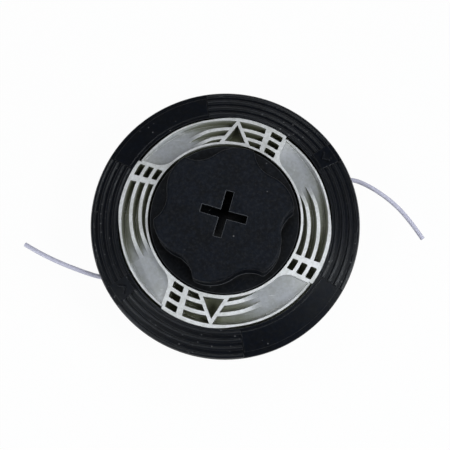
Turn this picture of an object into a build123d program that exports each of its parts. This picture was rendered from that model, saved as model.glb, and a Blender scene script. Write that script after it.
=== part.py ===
from build123d import *
import os
from math import atan, cos, degrees, isclose, radians, sin, tan

# Bump-feed trimmer head. Lengths are millimetres, angles are degrees counter-clockwise
# seen from the knob. Z = 0 is the seat against the gearbox and +Z points to the bump knob.

# Clearances
running_clearance = 0.1
axial_gap = 0.3
radial_gap = 0.3
press_clearance = 0.02
latch_clearance = 0.4

# Feed motion: knob, ring and spool travel in together
press_travel = 8.0
dog_count = 4
dog_height = 4.0
dog_thickness = 5.0
dog_length = 10.0
dog_margin = 2.0
dog_bearing = 0.0
index_rib_thickness = 4.0
index_rib_bearing = 45.0

# Upper housing on the drive side
collar_outer_radius = 29.0
collar_wall = 4.0
collar_height = 5.4
floor_wall = 3.0
housing_wall = 3.0
base_inner_radius = 48.0
draft_height = 25.6
base_round = 2.5
fin_count = 12
fin_thickness = 2.0
fin_recess = 1.0
fin_margin = 1.0
spigot_radius = 10.0
spigot_length = 51.6
hub_radius = 13.0
hub_recess = 1.0

# Threaded insert, moulded into the hub
thread_minor_radius = 4.3
insert_radius = 7.0
insert_length = 26.0
insert_hex_radius = 10.0
insert_hex_height = 5.0

# Cutting line and its eyelets
line_diameter = 2.4
eyelet_bearing = 24.0
eyelet_bore_radius = 1.7
eyelet_wall = 1.9
eyelet_flange_radius = 4.8
eyelet_flange_wall = 1.0
eyelet_mouth_length = 3.0
eyelet_mouth_radius = 3.4
eyelet_inset = 1.0
boss_radius = 6.5
boss_stand = 2.5

# Spool
spool_flange_wall = 2.5
mid_flange_wall = 2.0
chamber_height = 12.0
drum_radius = 22.0
drum_wall = 4.0
lower_flange_margin = 2.0
web_wall = 3.6
spool_hub_radius = 14.0
spool_hub_height = 8.0
winding_layers = 5
winding_turns = 4
winding_side_gap = 0.8
winding_clearance = 0.05
winding_ridge = 0.8

# Spring and thrust washer
spring_mean_radius = 14.5
spring_wire_radius = 1.0
spring_turns = 6
spring_wire_sides = 8
washer_wall = 1.5
washer_clearance = 0.4

# Lower cover
rim_radius = 70.0
rim_overhang = 7.0
rim_wall = 3.0
rim_height = 6.0
rim_drop = 1.0
rim_round = 0.8
dome_rise = 7.0
dome_wall = 2.8
cover_spigot_wall = 2.0
cover_spigot_depth = 7.0
cover_collar_width = 2.5
cover_seat_rise = 2.7
ridge_margin = 1.8
ridge_pitch = 3.8
ridge_count = 4
ridge_width = 2.4
ridge_height = 0.9
ridge_bearing = -30.0
ridge_arc = 58.75
long_ridge_bearing = 37.5
long_ridge_arc = 60.5
panel_bearing = 98.5
panel_arc = 51.0
panel_inner_margin = 1.8
panel_outer_margin = 3.0
panel_height = 0.5
latch_bearing = 115.0
latch_width = 14.0
latch_wall = 2.0
latch_length = 15.0
latch_hook_height = 3.0
latch_hook_reach = 1.5

# Wind ring: finger pockets, slots and arrows between an inner and an outer wall
ring_width = 16.2
ring_outer_height = 11.8
ring_inner_height = 20.5
ring_flange_wall = 2.3
ring_inner_wall = 1.2
ring_outer_wall = 1.9
ring_deck = 12.0
ring_step = 0.9
ring_step_round = 0.7
quadrant_count = 4
wall_bearing = 54.0
wall_slant = 4.8
crossbar_slant = 3.1
window_bearing = 1.6
window_arc = 7.0
crossbar_arc = 3.6
rib_wall = 1.8
slot_width = 3.2
rib_swing = 3.8
rib_swing_bearing = -10.0
tip_bearing = 60.0
pocket_depth = 4.2
pocket_fall = 0.06
pocket_rim_drop = 1.5
crest_rise = 0.3
slot_fall = 0.24
slot_lean = 0.2
ramp_bearing = 30.0
ramp_depth = 7.6
ramp_fall = 0.25
pocket_lean = 0.6
window_round = 0.6
recess_depth = 10.5
pocket_end_bearing = 89.0
pocket_flare_round = 9.0
crest_bearing = 38.0
step_bearing = 28.0
step_run = 15.0
rim_climb = 0.05
arrow_bearing = 28.3
arrow_tip_margin = 2.4
arrow_base_margin = 0.3
arrow_half_width = 5.4
arrow_frame = 1.7

# Bump knob
knob_stand = 14.3
knob_wall = 3.0
knob_face_wall = 3.5
skirt_gap = 1.0
skirt_wall = 2.5
skirt_drop = 2.2
lobe_count = 6
lobe_bearing = 3.75
lobe_margin = 2.8
lobe_depth = 5.6
lobe_flank_rise = 1.0
lobe_valley_turn = 14.2
lobe_flank_turn = 25.2
lobe_corner_round = 1.4
lobe_edge_round = 1.2
socket_wall = 2.5
dish_radius = 9.6
dish_depth = 0.7
cross_length = 23.4
cross_width = 4.0
cross_bearing = 74.0

# Levels, stacked from the seat up
floor_z = collar_height + floor_wall
draft_top_z = floor_z + draft_height
spool_bottom_z = floor_z + dog_height + press_travel + axial_gap
lower_chamber_z = spool_bottom_z + spool_flange_wall
mid_flange_z = lower_chamber_z + chamber_height
upper_chamber_z = mid_flange_z + mid_flange_wall
upper_flange_z = upper_chamber_z + chamber_height
ring_base_z = upper_flange_z + spool_flange_wall
line_z = mid_flange_z + mid_flange_wall / 2
web_under_z = ring_base_z - web_wall
washer_z = web_under_z - running_clearance - washer_wall
collar_stop_z = ring_base_z + ring_flange_wall + axial_gap
housing_top_z = collar_stop_z + cover_seat_rise
rim_top_z = housing_top_z - rim_drop
cover_edge_z = rim_top_z + dome_rise
ring_outer_z = ring_base_z + ring_outer_height
ring_inner_z = ring_base_z + ring_inner_height
knob_face_z = ring_inner_z + knob_stand
skirt_top_z = ring_inner_z - skirt_drop

# Radii, from the rim inward
wall_outer_radius = rim_radius - rim_overhang
housing_inner_radius = wall_outer_radius - housing_wall
cover_spigot_radius = housing_inner_radius - radial_gap
cover_bore_radius = cover_spigot_radius - cover_spigot_wall
opening_radius = cover_bore_radius - cover_collar_width
ring_flange_radius = cover_bore_radius - radial_gap
ring_outer_radius = opening_radius - radial_gap
ring_inner_radius = ring_outer_radius - ring_width
band_outer_radius = ring_outer_radius - ring_outer_wall
band_inner_radius = ring_inner_radius + ring_inner_wall
band_middle_radius = (band_inner_radius + band_outer_radius) / 2
upper_flange_radius = opening_radius
lower_flange_radius = base_inner_radius - lower_flange_margin
dog_outer_radius = lower_flange_radius - dog_margin
dog_inner_radius = dog_outer_radius - dog_length
cavity_radius = drum_radius - drum_wall
eyelet_radius = eyelet_bore_radius + eyelet_wall
boss_face_radius = wall_outer_radius + boss_stand
ridge_first_radius = opening_radius + ridge_margin
panel_inner_radius = opening_radius + panel_inner_margin
panel_outer_radius = rim_radius - panel_outer_margin
arrow_tip_radius = band_outer_radius - arrow_tip_margin
arrow_base_radius = band_inner_radius + arrow_base_margin
skirt_radius = ring_inner_radius - skirt_gap
lobe_corner_radius = skirt_radius - lobe_margin
lobe_valley_radius = lobe_corner_radius - lobe_depth
lobe_flank_radius = lobe_valley_radius + lobe_flank_rise
cone_fall = (ring_inner_height - ring_outer_height) / (ring_outer_radius - ring_inner_radius)
dome_fall = dome_rise / (rim_radius - opening_radius)


def polar(radius, bearing):
    """Point of the XY plane at a radius and a bearing."""
    return (radius * cos(radians(bearing)), radius * sin(radians(bearing)))


def radial_plane(bearing):
    """Plane through the axis whose x runs outward along a bearing and whose y is +Z."""
    outward = (*polar(1, bearing), 0)
    return Plane(origin=(0, 0, 0), x_dir=outward, z_dir=(*polar(1, bearing - 90), 0))


def outward_plane(bearing, radius):
    """Plane at the height of the line that faces outward along a bearing."""
    across = (*polar(1, bearing + 90), 0)
    return Plane(origin=(*polar(radius, bearing), line_z), x_dir=across, z_dir=(*polar(1, bearing), 0))


def axis_distance(edge):
    """Distance of an upright edge from the axis."""
    middle = edge.center()
    return Vector(middle.X, middle.Y).length


def dome_z(radius):
    """Height of the cover's conical face at a radius."""
    return cover_edge_z - dome_fall * (radius - opening_radius)


def ring_z(radius):
    """Height of the ring's conical face at a radius."""
    return ring_inner_z - cone_fall * (radius - ring_inner_radius)


def deck_plane(bearing, depth, climb):
    """Plane under the ring's cone at a bearing, climbing counter-clockwise by the given slope."""
    out_x, out_y = polar(cone_fall, bearing)
    along_x, along_y = polar(-climb, bearing + 90)
    centre = (*polar(band_middle_radius, bearing), ring_z(band_middle_radius) - depth)
    return Plane(origin=centre, z_dir=(out_x + along_x, out_y + along_y, 1))


eyelet_bearings = (eyelet_bearing, eyelet_bearing + 180)
ridge_radii = [ridge_first_radius + ridge_pitch * index for index in range(ridge_count)]
quadrant_arc = 360 / quadrant_count
os.makedirs("parts", exist_ok=True)

# Upper housing: drafted pot with collar, fins, hub, spigot, eyelet bosses and latch windows
with BuildPart() as upper_housing:
    with BuildSketch(Plane.XZ):
        with BuildLine():
            Polyline(
                (0, collar_height),
                (base_inner_radius + housing_wall, collar_height),
                (wall_outer_radius, draft_top_z),
                (wall_outer_radius, housing_top_z),
                (0, housing_top_z),
                close=True,
            )
        make_face()
    revolve(axis=Axis.Z)
    base_edges = edges().filter_by(GeomType.CIRCLE).sort_by(Axis.Z)[:1]
    fillet(base_edges, radius=base_round)
    for bearing in eyelet_bearings:
        with BuildSketch(outward_plane(bearing, base_inner_radius)):
            Circle(boss_radius)
        extrude(amount=boss_face_radius - base_inner_radius)
    with BuildSketch(Plane.XZ):
        with BuildLine():
            Polyline(
                (0, floor_z),
                (base_inner_radius, floor_z),
                (housing_inner_radius, draft_top_z),
                (housing_inner_radius, housing_top_z),
                (0, housing_top_z),
                close=True,
            )
        make_face()
    revolve(axis=Axis.Z, mode=Mode.SUBTRACT)
    with BuildSketch(Plane.XY):
        Circle(collar_outer_radius)
        Circle(collar_outer_radius - collar_wall, mode=Mode.SUBTRACT)
    extrude(amount=collar_height)
    fin_length = base_inner_radius - fin_margin - collar_outer_radius + collar_wall / 2
    with BuildSketch(Plane.XY.offset(fin_recess)):
        with PolarLocations(collar_outer_radius - collar_wall / 2 + fin_length / 2, fin_count):
            Rectangle(fin_length, fin_thickness)
    extrude(amount=floor_z - floor_wall / 2 - fin_recess)
    with BuildSketch(Plane.XY.offset(hub_recess)):
        Circle(hub_radius)
    extrude(amount=floor_z - hub_recess)
    with BuildSketch(Plane.XY.offset(floor_z)):
        Circle(spigot_radius)
    extrude(amount=spigot_length)
    with BuildSketch(Plane.XY.offset(floor_z)):
        rib_middle_radius = (dog_inner_radius + dog_outer_radius) / 2
        with PolarLocations(rib_middle_radius, dog_count, start_angle=index_rib_bearing):
            Rectangle(dog_outer_radius - dog_inner_radius, index_rib_thickness)
    extrude(amount=dog_height)
    with BuildSketch(Plane.XY.offset(hub_recess)):
        RegularPolygon(insert_hex_radius + press_clearance, 6)
    extrude(amount=insert_hex_height + press_clearance, mode=Mode.SUBTRACT)
    with BuildSketch(Plane.XY.offset(hub_recess)):
        Circle(insert_radius + press_clearance)
    extrude(amount=insert_length + press_clearance, mode=Mode.SUBTRACT)
    for bearing in eyelet_bearings:
        with BuildSketch(outward_plane(bearing, base_inner_radius)):
            Circle(eyelet_radius + press_clearance)
        extrude(amount=boss_face_radius - base_inner_radius, mode=Mode.SUBTRACT)
    latch_bottom_z = housing_top_z - latch_length
    with BuildSketch(Plane.XY.offset(latch_bottom_z - latch_clearance)):
        with PolarLocations(wall_outer_radius, 2, start_angle=latch_bearing):
            Rectangle(2 * latch_hook_reach, latch_width + 2 * latch_clearance)
    extrude(amount=latch_hook_height + 2 * latch_clearance, mode=Mode.SUBTRACT)

# Threaded insert: hexagon head and sleeve with the drive thread's bore
with BuildPart() as threaded_insert:
    with BuildSketch(Plane.XY.offset(hub_recess)):
        RegularPolygon(insert_hex_radius, 6)
    extrude(amount=insert_hex_height)
    with BuildSketch(Plane.XY.offset(hub_recess)):
        Circle(insert_radius)
    extrude(amount=insert_length)
    with BuildSketch(Plane.XY.offset(hub_recess)):
        Circle(thread_minor_radius)
    extrude(amount=insert_length, mode=Mode.SUBTRACT)

# Line eyelets: flanged sleeves with a trumpet mouth, pushed into the bosses from outside
eyelets = {}
for side, bearing in zip(("right", "left"), eyelet_bearings):
    with BuildPart() as eyelet:
        with BuildSketch(radial_plane(bearing)):
            inner_end = housing_inner_radius - eyelet_inset
            outer_end = boss_face_radius + eyelet_flange_wall
            mouth_start = outer_end - eyelet_mouth_length
            mouth_middle = outer_end - eyelet_mouth_length * (1 - cos(radians(45)))
            mouth_rise = (eyelet_mouth_radius - eyelet_bore_radius) * (1 - sin(radians(45)))
            with BuildLine():
                Polyline((mouth_start, line_z + eyelet_bore_radius), (inner_end, line_z + eyelet_bore_radius),
                         (inner_end, line_z + eyelet_radius), (boss_face_radius, line_z + eyelet_radius),
                         (boss_face_radius, line_z + eyelet_flange_radius),
                         (outer_end, line_z + eyelet_flange_radius),
                         (outer_end, line_z + eyelet_mouth_radius))
                ThreePointArc(
                    (outer_end, line_z + eyelet_mouth_radius),
                    (mouth_middle, line_z + eyelet_bore_radius + mouth_rise),
                    (mouth_start, line_z + eyelet_bore_radius),
                )
            make_face()
        revolve(axis=Axis((0, 0, line_z), (*polar(1, bearing), 0)))
    eyelets[side] = eyelet.part

# Line spool: two chambers on a drum, hub for the knob and dogs against the housing ribs
with BuildPart() as line_spool:
    with BuildSketch(Plane.XZ):
        bore_radius = spigot_radius + running_clearance
        with BuildLine():
            Polyline(
                (bore_radius, web_under_z),
                (cavity_radius, web_under_z),
                (cavity_radius, spool_bottom_z),
                (lower_flange_radius, spool_bottom_z),
                (lower_flange_radius, lower_chamber_z),
                (drum_radius, lower_chamber_z),
                (drum_radius, mid_flange_z),
                (lower_flange_radius, mid_flange_z),
                (lower_flange_radius, upper_chamber_z),
                (drum_radius, upper_chamber_z),
                (drum_radius, upper_flange_z),
                (upper_flange_radius, upper_flange_z),
                (upper_flange_radius, ring_base_z),
                (spool_hub_radius, ring_base_z),
                (spool_hub_radius, ring_base_z + spool_hub_height),
                (bore_radius, ring_base_z + spool_hub_height),
                close=True,
            )
        make_face()
    revolve(axis=Axis.Z)
    with BuildSketch(Plane.XY.offset(spool_bottom_z - dog_height)):
        with PolarLocations((dog_inner_radius + dog_outer_radius) / 2, dog_count, start_angle=dog_bearing):
            Rectangle(dog_outer_radius - dog_inner_radius, dog_thickness)
    extrude(amount=dog_height)

# Wound line: one ridged annulus in each chamber, a ridge for each turn on the outside
windings = {}
for level, chamber_z in (("lower", lower_chamber_z), ("upper", upper_chamber_z)):
    with BuildPart() as winding:
        turn_pitch = (chamber_height - 2 * winding_side_gap) / winding_turns
        outside_radius = drum_radius + winding_layers * line_diameter
        with BuildSketch(Plane.XZ):
            low_z = chamber_z + winding_side_gap
            high_z = low_z + winding_turns * turn_pitch
            with BuildLine():
                inside_radius = drum_radius + winding_clearance
                Polyline((outside_radius, low_z), (inside_radius, low_z), (inside_radius, high_z),
                         (outside_radius, high_z))
                for turn in range(winding_turns):
                    start_z = high_z - turn * turn_pitch
                    ridge_z = start_z - turn_pitch / 2
                    Polyline((outside_radius, start_z), (outside_radius + winding_ridge, ridge_z),
                             (outside_radius, start_z - turn_pitch))
            make_face()
        revolve(axis=Axis.Z)
    windings[level] = winding.part

# Thrust washer on top of the spring
with BuildPart() as thrust_washer:
    with BuildSketch(Plane.XY.offset(washer_z)):
        Circle(cavity_radius - washer_clearance)
        Circle(spigot_radius + washer_clearance, mode=Mode.SUBTRACT)
    extrude(amount=washer_wall)

# Feed spring: eight-sided wire coiled around the spigot, from the floor to the washer
with BuildPart() as feed_spring:
    spring_height = washer_z - floor_z - 2 * spring_wire_radius
    with BuildLine(Plane.XY.offset(floor_z + spring_wire_radius)):
        coil = Helix(spring_height / spring_turns, spring_height, spring_mean_radius)
    with BuildSketch(Plane(origin=coil @ 0, z_dir=coil % 0)):
        RegularPolygon(spring_wire_radius, spring_wire_sides)
    sweep(path=coil, is_frenet=True)

# Lower cover: conical ring with a lip, a spigot inside the housing and two latch tongues
with BuildPart() as lower_cover:
    lip_inner_radius = rim_radius - rim_wall
    seat_outer_radius = wall_outer_radius + radial_gap
    with BuildSketch(Plane.XZ):
        with BuildLine():
            Polyline(
                (opening_radius, collar_stop_z),
                (cover_bore_radius, collar_stop_z),
                (cover_bore_radius, housing_top_z - cover_spigot_depth),
                (cover_spigot_radius, housing_top_z - cover_spigot_depth),
                (cover_spigot_radius, housing_top_z),
                (seat_outer_radius, housing_top_z),
                (lip_inner_radius, dome_z(lip_inner_radius) - dome_wall),
                (lip_inner_radius, rim_top_z - rim_height),
                (rim_radius, rim_top_z - rim_height),
                (rim_radius, rim_top_z),
                (opening_radius, cover_edge_z),
                close=True,
            )
        make_face()
    revolve(axis=Axis.Z)
    round_edges = edges().filter_by(GeomType.CIRCLE)
    rim_edge = round_edges.filter_by_position(Axis.Z, rim_top_z - rim_round / 10, rim_top_z + rim_round / 10)
    fillet(rim_edge, radius=rim_round)
    dome_angle = degrees(atan(dome_fall))
    ridge_radius = (ridge_height**2 + (ridge_width / 2) ** 2) / (2 * ridge_height)
    ridge_sink = (ridge_radius - ridge_height) / cos(radians(dome_angle))
    for start, arc in ((ridge_bearing, ridge_arc), (long_ridge_bearing, long_ridge_arc)):
        for half_turn in (0, 180):
            with BuildSketch(radial_plane(start + half_turn)):
                with Locations(*[(radius, dome_z(radius) - ridge_sink) for radius in ridge_radii]):
                    Circle(ridge_radius)
            revolve(axis=Axis.Z, revolution_arc=arc)
    panel_middle_radius = (panel_inner_radius + panel_outer_radius) / 2
    panel_width = (panel_outer_radius - panel_inner_radius) / cos(radians(dome_angle))
    for half_turn in (0, 180):
        with BuildSketch(radial_plane(panel_bearing + half_turn)):
            with Locations((panel_middle_radius, dome_z(panel_middle_radius))):
                Rectangle(panel_width, 2 * panel_height, rotation=-dome_angle)
        revolve(axis=Axis.Z, revolution_arc=panel_arc)
    boss_start = ridge_bearing + ridge_arc
    for half_turn in (0, 180):
        with BuildSketch(radial_plane(boss_start + half_turn)):
            with Locations((panel_middle_radius, dome_z(panel_middle_radius))):
                Rectangle(panel_width, 2 * ridge_height, rotation=-dome_angle)
        revolve(axis=Axis.Z, revolution_arc=long_ridge_bearing - boss_start)
    tongue_inner_radius = wall_outer_radius + radial_gap
    with BuildSketch(Plane.XY.offset(housing_top_z - latch_length)):
        with PolarLocations(tongue_inner_radius + latch_wall / 2, 2, start_angle=latch_bearing):
            Rectangle(latch_wall, latch_width)
    extrude(amount=latch_length)
    hook_inner_radius = wall_outer_radius - latch_hook_reach + radial_gap
    with BuildSketch(Plane.XY.offset(housing_top_z - latch_length)):
        hook_middle_radius = (hook_inner_radius + tongue_inner_radius + latch_wall) / 2
        with PolarLocations(hook_middle_radius, 2, start_angle=latch_bearing):
            Rectangle(tongue_inner_radius + latch_wall - hook_inner_radius, latch_width)
    extrude(amount=latch_hook_height)

# Walls that bound the three rows of slots, from the inner wall over two eccentric ribs to the outer wall
rib_centre = polar(rib_swing, rib_swing_bearing)
rib_radii = [band_inner_radius - rib_swing + count * (slot_width + rib_wall) for count in (1, 2)]
slot_rows = (
    ((0, 0), band_inner_radius, rib_centre, rib_radii[0] - rib_wall),
    (rib_centre, rib_radii[0], rib_centre, rib_radii[1] - rib_wall),
    (rib_centre, rib_radii[1], (0, 0), band_outer_radius),
)

# Fields of the short windows and of the long slots, on either side of the slanted crossbar
reach = 2 * ring_outer_radius
bar_start = window_bearing + window_arc
bar_end = bar_start + crossbar_arc
with BuildSketch() as window_field:
    with BuildLine():
        Polyline(
            polar(ring_inner_radius, window_bearing - wall_slant),
            polar(ring_outer_radius, window_bearing),
            polar(ring_outer_radius, bar_start),
            polar(ring_inner_radius, bar_start - crossbar_slant),
            close=True,
        )
    make_face()
with BuildSketch() as slot_field:
    with BuildLine():
        Polyline(
            polar(ring_inner_radius, bar_end - crossbar_slant),
            polar(ring_outer_radius, bar_end),
            polar(reach, bar_end),
            polar(reach, tip_bearing),
            polar(ring_inner_radius / 2, tip_bearing),
            close=True,
        )
    make_face()

# Arrow opening and the frame around it, pointing outward
with BuildSketch() as arrow_opening:
    with BuildLine():
        tip_x, tip_y = polar(arrow_tip_radius, arrow_bearing)
        across_x, across_y = polar(arrow_half_width, arrow_bearing + 90)
        base_x, base_y = polar(arrow_base_radius, arrow_bearing)
        Polyline(
            (tip_x, tip_y),
            (base_x + across_x, base_y + across_y),
            (base_x - across_x, base_y - across_y),
            close=True,
        )
    make_face()
with BuildSketch() as arrow_field:
    add(arrow_opening.sketch)
    offset(amount=arrow_frame, kind=Kind.INTERSECTION)

# Deck left under the windows and arrows, parallel to the ring's cone
with BuildPart() as recess_floor:
    with BuildSketch(Plane.XZ):
        with BuildLine():
            Polyline(
                (ring_inner_radius, ring_base_z),
                (ring_outer_radius, ring_base_z),
                (ring_outer_radius, ring_outer_z - recess_depth),
                (ring_inner_radius, ring_inner_z - recess_depth),
                close=True,
            )
        make_face()
    revolve(axis=Axis.Z)

# Windows of one quadrant, with the pocket wall at bearing 0, and one arrow
with BuildPart() as window_tool:
    for inner_centre, inner_radius, outer_centre, outer_radius in slot_rows:
        with BuildSketch(Plane.XY.offset(ring_base_z)) as window:
            with Locations(outer_centre):
                Circle(outer_radius)
            with Locations(inner_centre):
                Circle(inner_radius, mode=Mode.SUBTRACT)
            add(window_field.sketch, mode=Mode.INTERSECT)
            fillet(window.vertices(), radius=window_round)
        extrude(amount=2 * ring_inner_height)
    add(recess_floor.part, mode=Mode.SUBTRACT)
with BuildPart() as arrow_tool:
    with BuildSketch(Plane.XY.offset(ring_base_z)):
        add(arrow_opening.sketch)
    extrude(amount=2 * ring_inner_height)
    add(recess_floor.part, mode=Mode.SUBTRACT)

# Slots of one quadrant: the outer wall leans inward, and the floor sinks by two ramps to the crossbar
slot_ramps = (
    deck_plane(tip_bearing, pocket_depth, slot_fall),
    deck_plane(ramp_bearing, ramp_depth, ramp_fall),
)
slot_tools = {}
for has_arrow in (True, False):
    with BuildPart() as slot_tool:
        for inner_centre, inner_radius, outer_centre, outer_radius in slot_rows:
            with BuildSketch(Plane.XY.offset(ring_base_z)):
                with Locations(outer_centre):
                    Circle(outer_radius)
                with Locations(inner_centre):
                    Circle(inner_radius, mode=Mode.SUBTRACT)
                add(slot_field.sketch, mode=Mode.INTERSECT)
                if has_arrow:
                    add(arrow_field.sketch, mode=Mode.SUBTRACT)
            extrude(amount=2 * ring_inner_height)
        for inner_centre, inner_radius, outer_centre, outer_radius in slot_rows:
            wall_top_z = ring_z(outer_radius + Vector(*outer_centre).length)
            lean_plane = Plane(origin=(*outer_centre, 0), x_dir=(1, 0, 0), z_dir=(0, -1, 0))
            with BuildSketch(lean_plane):
                with BuildLine():
                    Polyline(
                        (outer_radius, wall_top_z),
                        (outer_radius - slot_lean * (wall_top_z - ring_base_z), ring_base_z),
                        (outer_radius + rib_wall / 2, ring_base_z),
                        (outer_radius + rib_wall / 2, wall_top_z),
                        close=True,
                    )
                make_face()
            revolve(axis=Axis((*outer_centre, 0), (0, 0, 1)), mode=Mode.SUBTRACT)
    slot_tools[has_arrow] = []
    for ramp in slot_ramps:
        with BuildPart() as ramp_tool:
            add(slot_tool.part)
            split(bisect_by=ramp, keep=Keep.TOP)
        slot_tools[has_arrow].append(ramp_tool.part)

# Finger pocket of one quadrant: a smooth floor that runs up over the rib tips
with BuildPart() as pocket_tool:
    with BuildSketch(Plane.XY.offset(ring_base_z)) as pocket_outline:
        Circle(band_outer_radius)
        Circle(band_inner_radius, mode=Mode.SUBTRACT)
        with BuildLine():
            Polyline(
                polar(band_inner_radius, pocket_end_bearing - wall_slant),
                polar(band_outer_radius, pocket_end_bearing),
                polar(reach, pocket_end_bearing),
                polar(reach, crest_bearing),
                polar(band_inner_radius / 2, crest_bearing),
                close=True,
            )
        make_face(mode=Mode.INTERSECT)
        flare_corner = Vector(*polar(band_inner_radius, pocket_end_bearing - wall_slant))
        fillet(pocket_outline.vertices().sort_by_distance(flare_corner)[0], radius=pocket_flare_round)
    extrude(amount=2 * ring_inner_height)
    split(bisect_by=deck_plane(tip_bearing, pocket_depth, -pocket_fall), keep=Keep.TOP)
    split(bisect_by=deck_plane(tip_bearing, pocket_depth, -crest_rise), keep=Keep.TOP)
    cove_top_z = ring_z(band_outer_radius) - pocket_rim_drop
    with BuildSketch(Plane.XZ):
        with BuildLine():
            Polyline(
                (band_outer_radius, cove_top_z),
                (band_outer_radius - pocket_lean * (cove_top_z - ring_base_z), ring_base_z),
                (reach, ring_base_z),
                (reach, cove_top_z),
                close=True,
            )
        make_face()
    revolve(axis=Axis.Z, mode=Mode.SUBTRACT)

# Outer rim of one quadrant: drawn in by a step beside the pocket, and lower there
with BuildPart() as step_tool:
    with BuildSketch(Plane.XY.offset(ring_base_z + ring_flange_wall)):
        stepped_radius = ring_outer_radius - ring_step
        with BuildLine():
            ThreePointArc(
                polar(ring_outer_radius, step_bearing),
                polar((ring_outer_radius + stepped_radius) / 2, step_bearing + step_run / 2),
                polar(stepped_radius, step_bearing + step_run),
            )
            CenterArc((0, 0), stepped_radius, step_bearing + step_run, quadrant_arc - step_bearing - step_run)
            Polyline(
                polar(stepped_radius, quadrant_arc),
                polar(reach, quadrant_arc),
                polar(reach, step_bearing),
                polar(ring_outer_radius, step_bearing),
            )
        make_face()
    extrude(amount=2 * ring_inner_height)
with BuildPart() as rim_tool:
    with BuildSketch(Plane.XY.offset(ring_base_z)):
        Circle(reach)
        Circle(band_outer_radius, mode=Mode.SUBTRACT)
        with BuildLine():
            Polyline((0, 0), polar(2 * reach, quadrant_arc / 2), polar(2 * reach, quadrant_arc), close=True)
        make_face(mode=Mode.INTERSECT)
    extrude(amount=2 * ring_inner_height)
    split(bisect_by=deck_plane(quadrant_arc, pocket_rim_drop, rim_climb), keep=Keep.TOP)

# Wind ring: conical blank on a flange, hollow below the deck, cut by the tools of each quadrant
with BuildPart() as wind_ring:
    with BuildSketch(Plane.XZ):
        with BuildLine():
            Polyline(
                (ring_inner_radius, ring_base_z),
                (ring_flange_radius, ring_base_z),
                (ring_flange_radius, ring_base_z + ring_flange_wall),
                (ring_outer_radius, ring_base_z + ring_flange_wall),
                (ring_outer_radius, ring_outer_z),
                (ring_inner_radius, ring_inner_z),
                close=True,
            )
        make_face()
    revolve(axis=Axis.Z)
    with BuildSketch(Plane.XZ):
        with BuildLine():
            Polyline(
                (band_inner_radius, ring_base_z),
                (band_outer_radius, ring_base_z),
                (band_outer_radius, ring_z(band_outer_radius) - ring_deck),
                (band_inner_radius, ring_z(band_inner_radius) - ring_deck),
                close=True,
            )
        make_face()
    revolve(axis=Axis.Z, mode=Mode.SUBTRACT)
    for quadrant in range(quadrant_count):
        turn = (0, 0, wall_bearing + quadrant * quadrant_arc)
        has_arrow = quadrant % 2 == 0
        tools = [*slot_tools[has_arrow], window_tool.part, pocket_tool.part, step_tool.part, rim_tool.part]
        if has_arrow:
            tools.append(arrow_tool.part)
        for tool in tools:
            add(tool, rotation=turn, mode=Mode.SUBTRACT)
    upright_edges = wind_ring.edges().filter_by(Axis.Z)
    step_edges = upright_edges.filter_by(
        lambda edge: isclose(axis_distance(edge), ring_outer_radius, abs_tol=ring_step / 10)
    )
    fillet(step_edges, radius=ring_step_round)

# Lobed outline of the knob: each lobe is a hollow flank and a full one, both tangent arcs
with BuildSketch() as lobes:
    with BuildLine():
        for lobe in range(lobe_count):
            corner_bearing = lobe_bearing - lobe * 360 / lobe_count
            next_corner = polar(lobe_corner_radius, corner_bearing - 360 / lobe_count)
            hollow_flank = ThreePointArc(
                polar(lobe_corner_radius, corner_bearing),
                polar(lobe_valley_radius, corner_bearing - lobe_valley_turn),
                polar(lobe_flank_radius, corner_bearing - lobe_flank_turn),
            )
            TangentArc(hollow_flank @ 1, next_corner, tangent=hollow_flank % 1)
    make_face()
    corners = lobes.vertices().group_by(lambda vertex: round(Vector(vertex).length, 3))[-1]
    fillet(corners, radius=lobe_corner_round)

# Bump knob: lobed cap on a round skirt, hollow, with a socket over the spool's hub
with BuildPart() as bump_knob:
    with BuildSketch(Plane.XY.offset(skirt_top_z - skirt_wall)):
        add(lobes.sketch)
    extrude(amount=knob_face_z - skirt_top_z + skirt_wall)
    fillet(faces().sort_by(Axis.Z)[-1].edges(), radius=lobe_edge_round)
    with BuildSketch(Plane.XY.offset(ring_base_z)):
        Circle(skirt_radius)
    extrude(amount=skirt_top_z - ring_base_z)
    with BuildSketch(Plane.XY.offset(ring_base_z)):
        Circle(skirt_radius - skirt_wall)
    extrude(amount=skirt_top_z - skirt_wall - ring_base_z, mode=Mode.SUBTRACT)
    with BuildSketch(Plane.XY.offset(skirt_top_z - skirt_wall)):
        add(lobes.sketch)
        offset(amount=-knob_wall)
    extrude(amount=knob_face_z - knob_face_wall - skirt_top_z + skirt_wall, mode=Mode.SUBTRACT)
    socket_radius = spool_hub_radius + press_clearance
    with BuildSketch(Plane.XY.offset(ring_base_z)):
        Circle(socket_radius + socket_wall)
        Circle(socket_radius, mode=Mode.SUBTRACT)
    extrude(amount=knob_face_z - knob_face_wall - ring_base_z)
    dish_sphere_radius = (dish_radius**2 + dish_depth**2) / (2 * dish_depth)
    with Locations((0, 0, knob_face_z - dish_depth + dish_sphere_radius)):
        Sphere(dish_sphere_radius, mode=Mode.SUBTRACT)
    with BuildSketch(Plane.XY.offset(knob_face_z - knob_face_wall)):
        for arm_bearing in (cross_bearing, cross_bearing + 90):
            Rectangle(cross_length, cross_width, rotation=arm_bearing)
    extrude(amount=knob_face_wall, mode=Mode.SUBTRACT)

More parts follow.
